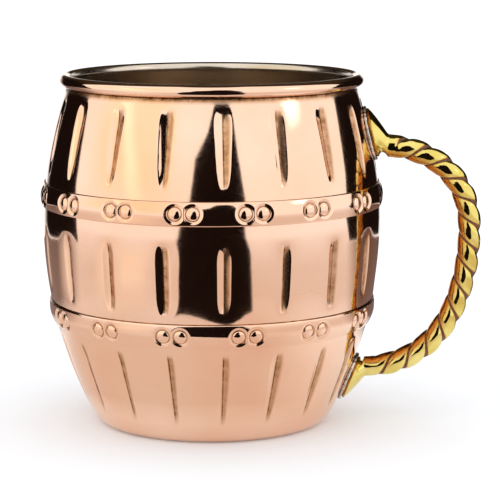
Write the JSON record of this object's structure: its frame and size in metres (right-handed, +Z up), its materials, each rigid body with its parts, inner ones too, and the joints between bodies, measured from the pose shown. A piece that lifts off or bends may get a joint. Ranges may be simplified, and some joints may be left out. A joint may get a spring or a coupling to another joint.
{
  "type": "drinking mug",
  "caption": "Barrel-shaped copper drinking mug with riveted hoops, pressed flutes, a rolled rim, a thin metal lining and a rope-twist brass side handle.",
  "frame": {"origin": "centre of the flat base, on the surface that the mug stands on", "axes": "+Z up along the cup's axis, +X towards the handle"},
  "size_m": [0.1257, 0.0978, 0.1],
  "materials": {
    "copper": "polished copper",
    "lining": "satin nickel",
    "brass": "polished cast brass",
    "solder": "silver solder"
  },
  "bodies": {
    "root": {"outer_shell": "copper", "inner_liner": "lining", "upper_hoop": "copper", "lower_hoop": "copper", "handle": "brass", "upper_handle_solder": "solder", "lower_handle_solder": "solder", "upper_rivet_pair_01": "copper", "upper_rivet_pair_02": "copper", "upper_rivet_pair_03": "copper", "upper_rivet_pair_04": "copper", "upper_rivet_pair_05": "copper", "upper_rivet_pair_06": "copper", "upper_rivet_pair_07": "copper", "upper_rivet_pair_08": "copper", "upper_rivet_pair_09": "copper", "upper_rivet_pair_10": "copper", "upper_rivet_pair_11": "copper", "upper_rivet_pair_12": "copper", "upper_rivet_pair_13": "copper", "upper_rivet_pair_14": "copper", "upper_rivet_pair_15": "copper", "upper_rivet_pair_16": "copper", "lower_rivet_pair_01": "copper", "lower_rivet_pair_02": "copper", "lower_rivet_pair_03": "copper", "lower_rivet_pair_04": "copper", "lower_rivet_pair_05": "copper", "lower_rivet_pair_06": "copper", "lower_rivet_pair_07": "copper", "lower_rivet_pair_08": "copper", "lower_rivet_pair_09": "copper", "lower_rivet_pair_10": "copper", "lower_rivet_pair_11": "copper", "lower_rivet_pair_12": "copper", "lower_rivet_pair_13": "copper", "lower_rivet_pair_14": "copper"}
  },
  "joints": []
}
